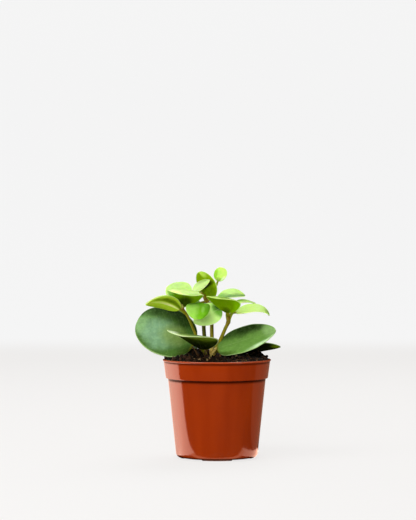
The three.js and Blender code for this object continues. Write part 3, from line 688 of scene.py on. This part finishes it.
def leaf_finish(name, upper, lower, margin, stalk, roughness, shine, glow, worn, upper_light_and_shade=(), lower_light_and_shade=()):
    """A fleshy, waxy leaf. Washes of painted light and shade lie over its faces: where, how far they reach, tone,
    strength.
    """
    f = Finish(name, Subsurface_Weight=glow, Subsurface_Radius=(0.6, 1.0, 0.25), Subsurface_Scale=0.003)
    where = f.place()
    share, across, under, stalked = f.mark("share"), f.mark("across"), f.mark("under"), f.mark("stalk")
    out = f.sum("ABSOLUTE", across)
    mottle = f.cloud(where, 420, 3, 0.6)
    pores = f.cloud(where, 2600, 2, 0.6)
    patches = f.sum("MULTIPLY_ADD", f.cloud(where, 90, 3, 0.55), 1.0, -0.5)

    # Painted light and shade over a face: highlights, waxy sheen, cast shadows and shaded halves
    def with_light_and_shade(colour, washes):
        for (s, t), (reach_s, reach_t), tone, strength in washes:
            ds = f.sum("MULTIPLY_ADD", share, 1 / reach_s, -s / reach_s)
            dt = f.sum("MULTIPLY_ADD", across, 1 / reach_t, -t / reach_t)
            away = f.sum("ADD", f.sum("MULTIPLY_ADD", ds, ds, f.sum("MULTIPLY", dt, dt)), patches)
            colour = f.blend(f.band(away, 1.0, 0.0, 0.0, strength), colour, tint(*tone))
        return colour

    top, beneath = with_light_and_shade(tint(*upper), upper_light_and_shade), with_light_and_shade(tint(*lower), lower_light_and_shade)
    colour = f.blend(f.band(under, 0.4, 0.6), top, beneath)
    light_spots = f.sum("MULTIPLY", f.band(mottle, 0.5, 0.75), f.band(under, 0.4, 0.6, 0.09, 0.03))
    colour = f.blend(light_spots, colour, tint(*margin))
    uneven = f.sum("MULTIPLY_ADD", f.band(f.cloud(where, 210, 4, 0.65), 0.35, 0.65), worn, 1 - worn / 2)
    colour = f.put("ShaderNodeHueSaturation", {"Color": colour, "Value": uneven})

    swept = f.sum("SUBTRACT", share, f.sum("MULTIPLY", f.sum("POWER", out, 1.4), VEIN_SWEEP))
    wander = f.sum("MULTIPLY", f.cloud(where, 90, 1), 0.06)
    lanes = f.sum("PINGPONG", f.sum("ADD", swept, wander), VEIN_SPACING)
    side_vein = f.sum("MULTIPLY", f.band(lanes, VEIN_WIDTH, 0.0), f.band(out, 1.0, 0.1))
    rib = f.sum("MULTIPLY", f.band(out, RIB_WIDTH, 0.0), f.band(share, 0.9, 0.3))
    veins = f.sum("MAXIMUM", f.sum("MULTIPLY", side_vein, 0.1), f.sum("MULTIPLY", rib, 0.16))
    veins = f.sum("MULTIPLY", veins, f.band(under, 0.4, 0.6, 1.0, 0.2))
    blade = f.band(share, 0.0, 0.08)
    colour = f.blend(f.sum("MULTIPLY", veins, blade), colour, tint(*margin))
    # Pale rim at the blade's edge: partly the margin's own tone, partly a painted highlight where the thick edge
    # catches light
    edge = f.sum("MAXIMUM", f.band(out, 0.93, 0.99), f.band(share, 0.98, 0.998))
    colour = f.blend(f.sum("MULTIPLY", f.sum("MULTIPLY", edge, blade), 0.85), colour, tint(*margin))
    colour = f.blend(f.band(f.sum("ADD", share, f.sum("MULTIPLY", stalked, 0.001)), 0.05, 0.0), colour, tint(*stalk))
    colour = f.blend(f.sum("MULTIPLY", f.band(stalked, 0.35, 0.0), 0.7), colour, tint(*AXIL_TONE))

    rough = f.band(mottle, 0.3, 0.7, roughness - 0.05, roughness + 0.07)
    relief = f.bump(pores, 0.00012, 0.3)
    relief = f.bump(mottle, 0.0004, 0.25, relief)
    relief = f.bump(f.sum("MULTIPLY", side_vein, blade), -0.0002, 0.3, relief)
    wax = f.band(under, 0.6, 0.3, 0.0, shine)
    return f.wear(Base_Color=colour, Roughness=rough, Normal=relief, Specular_IOR_Level=wax)


def stem_finish(name, green, brown, streak, foot):
    """A juicy stem: streaks along it, brown at its nodes, paler towards its foot, painted light on its lit side and
    painted shade on the other, pale buds.
    """
    f = Finish(name, Subsurface_Weight=0.2, Subsurface_Radius=(0.8, 0.6, 0.2), Subsurface_Scale=0.002,
               Specular_IOR_Level=0.22)
    where = f.place()
    share, near, ring, bud, lit = (f.mark(mark) for mark in STEM_MARKS)
    streaks = f.cloud(f.put("ShaderNodeMapping", {"Vector": where, "Scale": (1.0, 1.0, 0.18)}), 900, 3, 0.6)
    blotches = f.cloud(where, 160, 3)
    age = f.sum("MAXIMUM", f.band(share, 0.5, 0.1, 0.0, 0.6), f.sum("MULTIPLY", near, 0.75))
    age = f.sum("ADD", age, f.sum("MULTIPLY_ADD", blotches, 0.7, -0.35), clamp=True)
    colour = f.blend(age, green, brown)
    colour = f.blend(f.sum("MULTIPLY", f.band(streaks, 0.45, 0.7), 0.5), colour, streak)
    # Painted light on the side facing the key lamp
    colour = f.blend(f.sum("MULTIPLY", f.band(lit, 0.3, 1.0), 0.35), colour, streak)
    # Paler towards the foot
    colour = f.blend(f.sum("MULTIPLY", f.band(share, 0.5, 0.4), 0.75), colour, foot)
    # Painted shade on the side away from the key lamp, stronger up the stem
    shaded = f.sum("MULTIPLY", f.band(lit, 0.2, -0.6), f.band(share, 0.3, 0.45, 0.1, 0.6))
    colour = f.blend(shaded, colour, tint(44, 40, 2))
    colour = f.blend(f.sum("MULTIPLY", ring, 0.6), colour, tint(78, 42, 8))
    colour = f.blend(f.band(bud, 0.02, 0.1), colour, tint(150, 96, 20))
    colour = f.blend(f.band(bud, 0.3, 0.75), colour, tint(208, 210, 110))
    relief = f.bump(streaks, 0.0003, 0.5)
    rough = f.band(blotches, 0.3, 0.7, 0.42, 0.6)
    return f.wear(Base_Color=colour, Roughness=rough, Normal=relief)


def pot_finish():
    """Glossy injection-moulded plastic: faint flow streaks, dust, fine rubbing near the foot, a painted highlight on
    the lip, painted shade under the lip and the band and at the foot.
    """
    f = Finish("terracotta_plastic", IOR=1.5)
    where = f.place()
    upright = f.put("ShaderNodeMapping", {"Vector": where, "Scale": (1.0, 1.0, 0.06)})
    flow = f.cloud(upright, 70, 2)
    fine = f.cloud(upright, 900, 3, 0.6)
    clouds = f.cloud(where, 28, 3)
    colour = f.blend(f.band(flow, 0.35, 0.7), tint(136, 42, 5), tint(144, 47, 7))
    colour = f.blend(f.sum("MULTIPLY", f.band(clouds, 0.4, 0.75), 0.3), colour, tint(128, 39, 5))
    height = f.put("ShaderNodeSeparateXYZ", {0: where}, 2)
    grime = f.sum("MULTIPLY", f.band(height, 0.012, 0.0), f.band(f.cloud(where, 240, 4, 0.65), 0.45, 0.75))
    colour = f.blend(f.sum("MULTIPLY", grime, 0.35), colour, tint(118, 62, 34))
    dust = f.sum("MULTIPLY", f.band(f.cloud(where, 1500, 2, 0.7), 0.66, 0.76), 0.2)
    colour = f.blend(dust, colour, tint(176, 92, 50))
    # Painted highlight along the top of the lip
    lip_highlight = f.band(height, (POT_HEIGHT - 1.1) * MM, (POT_HEIGHT - 0.3) * MM)
    colour = f.blend(f.sum("MULTIPLY", lip_highlight, 0.45), colour, tint(200, 108, 74))

    def shade_under_edge(edge, fades, full, over):
        """Painted shade under an edge: it fades out so far below, is full nearer to it and ends just over it."""
        below = f.band(height, (edge - fades) * MM, (edge - full) * MM)
        return f.sum("MULTIPLY", below, f.band(height, (edge + over) * MM, edge * MM))

    # Painted shade under the lip and under the band
    lip_shade = f.sum("MULTIPLY", shade_under_edge(LIP_FOOT_Z, 2.6, 0.5, 0.3), 0.8)
    painted_shade = f.sum("MAXIMUM", shade_under_edge(BAND_FOOT_Z, 4, 0.9, 0.4), lip_shade)
    # Painted contact shadow at the foot
    painted_shade = f.sum("MAXIMUM", painted_shade, f.band(height, 3.6 * MM, 1.6 * MM))
    colour = f.blend(f.sum("MULTIPLY", painted_shade, 0.88), colour, tint(30, 5, 1))
    shine = f.band(painted_shade, 0.2, 0.8, 0.5, 0.05)
    rough = f.sum("ADD", f.band(clouds, 0.3, 0.7, 0.09, 0.13), f.sum("MULTIPLY", grime, 0.25))
    relief = f.bump(fine, 0.00003, 0.2)
    return f.wear(Base_Color=colour, Roughness=rough, Normal=relief, Specular_IOR_Level=shine)


def compost_finish(name, dark, brown, pale=None):
    """Moist peat. Loose bits, which have a pale tone too, take their own tone from dark to pale."""
    f = Finish(name, Specular_IOR_Level=0.25)
    where = f.place()
    grains = f.cloud(where, 1100, 4, 0.7)
    lumps = f.cloud(where, 260, 4, 0.6)
    if pale:
        colour = f.ramp(f.mark("tone"), (0.3, dark), (0.75, brown), (0.93, brown), (0.99, pale))
    else:
        colour = f.ramp(lumps, (0.3, dark), (0.7, brown))
    colour = f.blend(f.sum("MULTIPLY", f.band(grains, 0.55, 0.75), 0.3), colour, brown)
    colour = f.blend(f.sum("MULTIPLY", f.band(grains, 0.5, 0.3), 0.8), colour, dark)
    relief = f.bump(lumps, 0.0016, 0.7)
    relief = f.bump(grains, 0.0006, 0.8, relief)
    rough = f.band(grains, 0.3, 0.7, 0.75, 0.98)
    return f.wear(Base_Color=colour, Roughness=rough, Normal=relief)


# A leaf by age: tones of its two faces, margin and stalk, its roughness and shine, the light that it lets through,
# and how uneven its tones are
AGES = {
    "old": dict(upper=(70, 100, 42), lower=(66, 84, 12), margin=(150, 178, 112), stalk=(120, 122, 30),
                roughness=0.45, shine=0.07, glow=0.1, worn=0.2),
    "grown": dict(upper=(100, 158, 30), lower=(124, 156, 10), margin=(196, 222, 120), stalk=(126, 124, 24),
                  roughness=0.42, shine=0.14, glow=0.35, worn=0.12),
    "young": dict(upper=(172, 206, 80), lower=(124, 166, 12), margin=(214, 236, 154), stalk=(140, 150, 36),
                  roughness=0.42, shine=0.2, glow=0.7, worn=0.09),
}
# What sets a leaf apart from the others of its age, partly its own tones and partly painted light and shade:
# tones darker where shade falls on the leaf and lighter where light does; washes of painted highlight, sheen and
# shadow
LEAF_TONES_LIGHT_AND_SHADE = {
    "leaf_low_left": dict(upper=(64, 98, 34), upper_light_and_shade=[
        ((0.62, 0.2), (0.5, 0.85), (116, 153, 116), 0.9), ((0.35, 0.05), (0.3, 0.6), (112, 134, 54), 0.7),
        ((1.0, 0.1), (0.22, 1.2), (120, 158, 100), 0.8), ((0.9, -0.6), (0.25, 0.4), (86, 126, 60), 0.8),
        ((0.5, -1.05), (0.8, 0.78), (22, 44, 2), 1), ((0.0, 0.9), (0.25, 0.7), (52, 72, 14), 0.8)]),
    "leaf_low_right": dict(upper=(94, 134, 56), upper_light_and_shade=[
        ((0.5, 0.95), (0.5, 0.85), (22, 44, 3), 1), ((0.97, 0.2), (0.22, 1.3), (118, 152, 88), 0.9),
        ((0.74, -1.0), (0.32, 0.36), (176, 204, 156), 0.95), ((0.15, -0.85), (0.2, 0.35), (58, 84, 20), 0.8)]),
    "leaf_low_front": dict(upper=(80, 106, 40), lower=(40, 54, 1), margin=(186, 206, 140), upper_light_and_shade=[
        ((0.95, -0.95), (0.3, 0.7), (200, 220, 174), 1), ((1.0, 0.2), (0.15, 1.2), (124, 148, 70), 0.9)],
        lower_light_and_shade=[((0.68, 0.1), (0.4, 1.5), (110, 136, 28), 0.95), ((1.0, 0.0), (0.3, 1.6), (94, 118, 32), 0.8),
                      ((1.0, 0.0), (0.14, 1.6), (196, 216, 160), 1), ((0.0, 0.0), (0.3, 1.2), (8, 9, 0), 1)]),
    "leaf_low_far": dict(lower=(12, 16, 2), lower_light_and_shade=[((1.0, -0.5), (0.28, 0.8), (82, 104, 1), 1)]),
    "leaf_left_side": dict(lower=(172, 200, 46), lower_light_and_shade=[
        ((0.35, 0.5), (0.6, 0.38), (84, 112, 3), 1), ((0.88, 1.0), (0.4, 0.2), (222, 238, 140), 1),
        ((0.3, 0.0), (0.4, 0.2), (234, 236, 158), 0.9), ((0.6, 0.05), (0.35, 0.25), (202, 218, 106), 0.7),
        ((0.6, -0.9), (0.5, 0.4), (140, 172, 34), 0.8)]),
    "leaf_left_back": dict(upper=(172, 204, 110), upper_light_and_shade=[((0.9, 0.3), (0.4, 0.9), (156, 196, 104), 0.6)]),
    "leaf_left_front": dict(upper=(170, 202, 106), lower=(132, 176, 4), upper_light_and_shade=[
        ((0.95, -0.9), (0.35, 0.5), (202, 224, 136), 1)], lower_light_and_shade=[
        ((0.12, 0.1), (0.28, 0.8), (54, 78, 1), 1), ((0.45, -1.0), (0.25, 0.45), (196, 222, 130), 1)]),
    "leaf_middle_front": dict(upper=(112, 180, 14), upper_light_and_shade=[
        ((0.55, -0.7), (0.6, 1.0), (168, 220, 96), 0.95), ((0.0, -0.7), (0.38, 0.9), (56, 106, 6), 1),
        ((0.6, 1.0), (0.6, 0.5), (84, 142, 4), 1), ((0.6, 0.4), (0.2, 0.2), (176, 220, 120), 0.45)]),
    "leaf_middle_low": dict(upper=(212, 255, 146), glow=0.1, margin=(232, 255, 180), worn=0.04, upper_light_and_shade=[
        ((0.05, 0.1), (0.3, 1.6), (112, 178, 52), 1), ((0.03, 0.0), (0.26, 1.5), (100, 164, 42), 1),
        ((0.0, -0.35), (0.24, 0.8), (40, 82, 1), 1)]),
    "leaf_top_back": dict(lower=(118, 148, 6), lower_light_and_shade=[
        ((0.9, 0.5), (0.25, 0.5), (172, 202, 76), 0.9), ((0.49, 0.15), (0.14, 1.1), (12, 26, 0), 1),
        ((0.2, 0.2), (0.3, 0.9), (92, 122, 3), 1)]),
    "leaf_top_front": dict(upper=(182, 210, 126), upper_light_and_shade=[((0.8, 0.7), (0.55, 0.7), (134, 168, 74), 0.95)]),
    "leaf_top": dict(upper=(184, 218, 96), upper_light_and_shade=[
        ((0.4, 0.8), (0.5, 0.5), (144, 188, 30), 1), ((0.0, 0.0), (0.3, 1.0), (124, 156, 36), 0.8),
        ((0.25, -0.9), (0.3, 0.4), (208, 226, 164), 0.9)]),
    "leaf_right_front": dict(upper=(134, 164, 52), lower=(120, 160, 1), upper_light_and_shade=[
        ((0.95, 0.5), (0.4, 0.8), (104, 136, 24), 1)], lower_light_and_shade=[
        ((0.35, 0.9), (0.45, 0.5), (136, 190, 2), 1), ((0.0, -0.2), (0.25, 0.8), (68, 92, 0), 1)]),
    "leaf_right_far": dict(upper=(136, 176, 58), upper_light_and_shade=[((0.8, -0.9), (0.3, 0.5), (118, 142, 50), 0.8)]),
    "leaf_right_side": dict(upper=(162, 196, 88), upper_light_and_shade=[((1.0, 0.0), (0.25, 1.5), (130, 158, 78), 0.8)]),
    "leaf_right_back": dict(upper=(172, 212, 94), upper_light_and_shade=[
        ((0.5, -1.0), (0.8, 1.15), (74, 128, 6), 1), ((0.15, 0.0), (0.35, 1.0), (90, 154, 20), 0.9)]),
}


def finish_of(leaf):
    """A leaf's finish: its age's, changed by its own tones and by painted light and shade."""
    return leaf_finish(leaf + "_wax", **{**AGES[LEAVES[leaf][-1]], **LEAF_TONES_LIGHT_AND_SHADE.get(leaf, {})})


stem_green = stem_finish("stem_olive", tint(118, 112, 4), tint(108, 72, 4), tint(170, 160, 44), tint(226, 196, 104))
stem_shaded = stem_finish("stem_shaded", tint(76, 78, 10), tint(56, 46, 6), tint(116, 112, 34), tint(96, 70, 24))
soil_dark = compost_finish("peat_bed", tint(12, 8, 5), tint(36, 24, 14))
crumb_dark = compost_finish("peat_crumbs", tint(13, 9, 5), tint(64, 40, 24), tint(182, 152, 104))
fibre_tan = compost_finish("coir_fibre", tint(58, 38, 22), tint(112, 78, 44), tint(186, 164, 86))

pot_piece(pot_finish())
soil_piece(soil_dark)
crumbs_piece(crumb_dark)
fibres_piece(fibre_tan)
for stem in STEMS:
    stem_piece(stem, stem_shaded if stem == "stem_back" else stem_green)
for leaf in LEAVES:
    leaf_piece(leaf, finish_of(leaf))


# Studio, in metres
FLOOR_REACH = 9
BACKDROP_FOOT_Y = 1.6
BACKDROP_ROUND = 0.8
BACKDROP_TOP = 3.2
FLOOR_TONE = (0.745, 0.733, 0.722, 1)
BACKDROP_TONE = (0.81, 0.81, 0.81, 1)
FAR_TONE = (0.905, 0.905, 0.9, 1)
FAR_WALL_RADIUS = 8.9
FAR_WALL_HEIGHT = 9
BOARD_LIFT = 0.0003
ROOM_STRENGTH = 0.45


def glowing(name, tone):
    """A matt surface that gives light of its own and reflects none."""
    return Finish(name, Roughness=1.0, Specular_IOR_Level=0.0, Base_Color=(0, 0, 0, 1), Emission_Color=tone,
                  Emission_Strength=1.0)


def stage_for(thing, seen_by):
    """Puts a thing in the studio that only one kind of ray meets."""
    for ray in ("camera", "diffuse", "glossy", "transmission", "shadow"):
        setattr(thing, "visible_" + ray, ray == seen_by)


def pale_paper():
    """Paper that is warmer on the floor, and paler where the floor is far away or turns up into the backdrop."""
    paper = Finish("pale_paper", Roughness=1.0, Specular_IOR_Level=0.0, Base_Color=(0.12, 0.12, 0.12, 1),
                   Emission_Strength=1.0)
    where = paper.place()
    height = paper.put("ShaderNodeSeparateXYZ", {0: where}, 2)
    away = paper.put("ShaderNodeVectorMath", {0: where}, 1, operation="LENGTH")
    floor_tone = paper.blend(paper.band(away, 1.9, 3.0), FLOOR_TONE, FAR_TONE)
    return paper.wear(Emission_Color=paper.blend(paper.band(height, 0.0, 0.03), floor_tone, BACKDROP_TONE))


def pale_sweep():
    """A plain pale floor that curves up into the backdrop."""
    bm = bmesh.new()
    line = [(-FLOOR_REACH, 0), (BACKDROP_FOOT_Y, 0)]
    for i in range(1, 13):
        turn = math.pi / 2 * i / 12
        line.append((BACKDROP_FOOT_Y + BACKDROP_ROUND * math.sin(turn), BACKDROP_ROUND * (1 - math.cos(turn))))
    line.append((BACKDROP_FOOT_Y + BACKDROP_ROUND, BACKDROP_TOP))
    verts = [bm.verts.new((-FLOOR_REACH, y, z)) for y, z in line]
    edges = [bm.edges.new(pair) for pair in zip(verts, verts[1:])]
    swept = bmesh.ops.extrude_edge_only(bm, edges=edges)["geom"]
    far_side = [v for v in swept if isinstance(v, bmesh.types.BMVert)]
    bmesh.ops.translate(bm, verts=far_side, vec=(2 * FLOOR_REACH, 0, 0))
    bmesh.ops.recalc_face_normals(bm, faces=bm.faces)
    sweep = object_from(bm, "pale_sweep", pale_paper(), smooth=True)
    sweep.visible_glossy = False


def far_wall():
    """A pale wall far off all round, which gives no light, for views from the other sides."""
    bm = bmesh.new()
    bmesh.ops.create_cone(bm, cap_ends=False, segments=96, radius1=FAR_WALL_RADIUS, radius2=FAR_WALL_RADIUS,
                          depth=FAR_WALL_HEIGHT)
    bmesh.ops.translate(bm, verts=bm.verts, vec=(0, 0, FAR_WALL_HEIGHT / 2 - 0.01))
    stage_for(object_from(bm, "far_wall", glowing("far_paper", FAR_TONE).material, smooth=False), "camera")


def softbox(name, at, towards, size, power, glossy=True):
    """A soft lamp, which may show in the pot's gloss."""
    lamp = bpy.data.lights.new(name, "AREA")
    lamp.shape, lamp.size, lamp.size_y = "RECTANGLE", size[0], size[1]
    lamp.energy = power
    thing = bpy.data.objects.new(name, lamp)
    thing.location = at
    thing.rotation_euler = (Vector(towards) - Vector(at)).to_track_quat("-Z", "Y").to_euler()
    thing.visible_glossy, thing.visible_camera = glossy, False
    bpy.context.scene.collection.objects.link(thing)


def glow_board(name, x, y, turn, colour, fade=None):
    """A bright board on the floor that shows only in the pot's gloss, dimmer towards the back if it has a fade."""
    bm = bmesh.new()
    verts = bmesh.ops.create_grid(bm, x_segments=1, y_segments=1, size=0.5)["verts"]
    bmesh.ops.scale(bm, verts=verts, vec=(x[1] - x[0], y[1] - y[0], 1))
    bmesh.ops.translate(bm, verts=verts, vec=((x[0] + x[1]) / 2, (y[0] + y[1]) / 2, BOARD_LIFT))
    corner = Vector((x[1], y[0], 0))
    bmesh.ops.rotate(bm, verts=verts, cent=corner, matrix=Quaternion((0, 0, 1), math.radians(turn)).to_matrix())
    board = glowing(name, (*colour, 1))
    if fade:
        # The angle round the left of the pot's foot, from its left side to its back
        foot_x, foot_y = -0.04, -0.01
        across = board.put("ShaderNodeSeparateXYZ", {0: board.place()})
        back = board.put("ShaderNodeSeparateXYZ", {0: board.place()}, 1)
        angle = board.sum("ARCTAN2", board.sum("SUBTRACT", back, foot_y), board.sum("SUBTRACT", foot_x, across))
        board.wear(Emission_Strength=board.band(angle, math.radians(10), math.radians(75), 1.0, fade))
    stage_for(object_from(bm, name, board.material, smooth=False), "glossy")


pale_sweep()
far_wall()
softbox("key_left", (-0.9, -0.6, 1.3), (0, 0, 0.1), (0.9, 0.9), 14)
softbox("top_back", (0.2, 0.7, 1.4), (0, 0, 0.12), (1.0, 0.8), 12)
softbox("front_fill", (-0.4, -1.7, 0.75), (0, 0, 0.1), (1.0, 1.0), 19, glossy=False)
glow_board("left_glow", (-0.95, -0.046), (-0.045, 1.8), -6.3, (4.9, 3.0, 2.35), fade=0.3)
glow_board("front_glow", (-0.046, 0.06), (-0.044, -0.0355), 0, (2.7, 1.2, 0.7))
glow_board("right_glow", (0.036, 0.068), (-0.042, 0.045), 0, (3.4, 1.9, 1.4))
glow_board("far_glow", (0.07, 1.5), (0.0, 1.5), 0, (0.36, 0.2, 0.13))

world = bpy.data.worlds.new("soft_room")
bpy.context.scene.world = world
world.use_nodes = True
room_light = world.node_tree.nodes["Background"].inputs
room_light["Color"].default_value = (1, 1, 1, 1)
room_light["Strength"].default_value = ROOM_STRENGTH
world.cycles_visibility.glossy = False

# Camera at the photograph's place: a long lens, a little above the pot and looking slightly down
CAMERA_AT = (-0.0087, -1.7, 0.2005)
CAMERA_DOWN = 0.25
LENS = 120.05
camera = bpy.data.objects.new("camera", bpy.data.cameras.new("camera"))
camera.location = CAMERA_AT
camera.rotation_euler = (math.radians(90 - CAMERA_DOWN), 0, 0)
camera.data.lens = LENS
camera.data.sensor_width = 36
bpy.context.scene.collection.objects.link(camera)
bpy.context.scene.camera = camera
bpy.context.scene.view_settings.view_transform = "Standard"
bpy.context.scene.view_settings.look = "None"
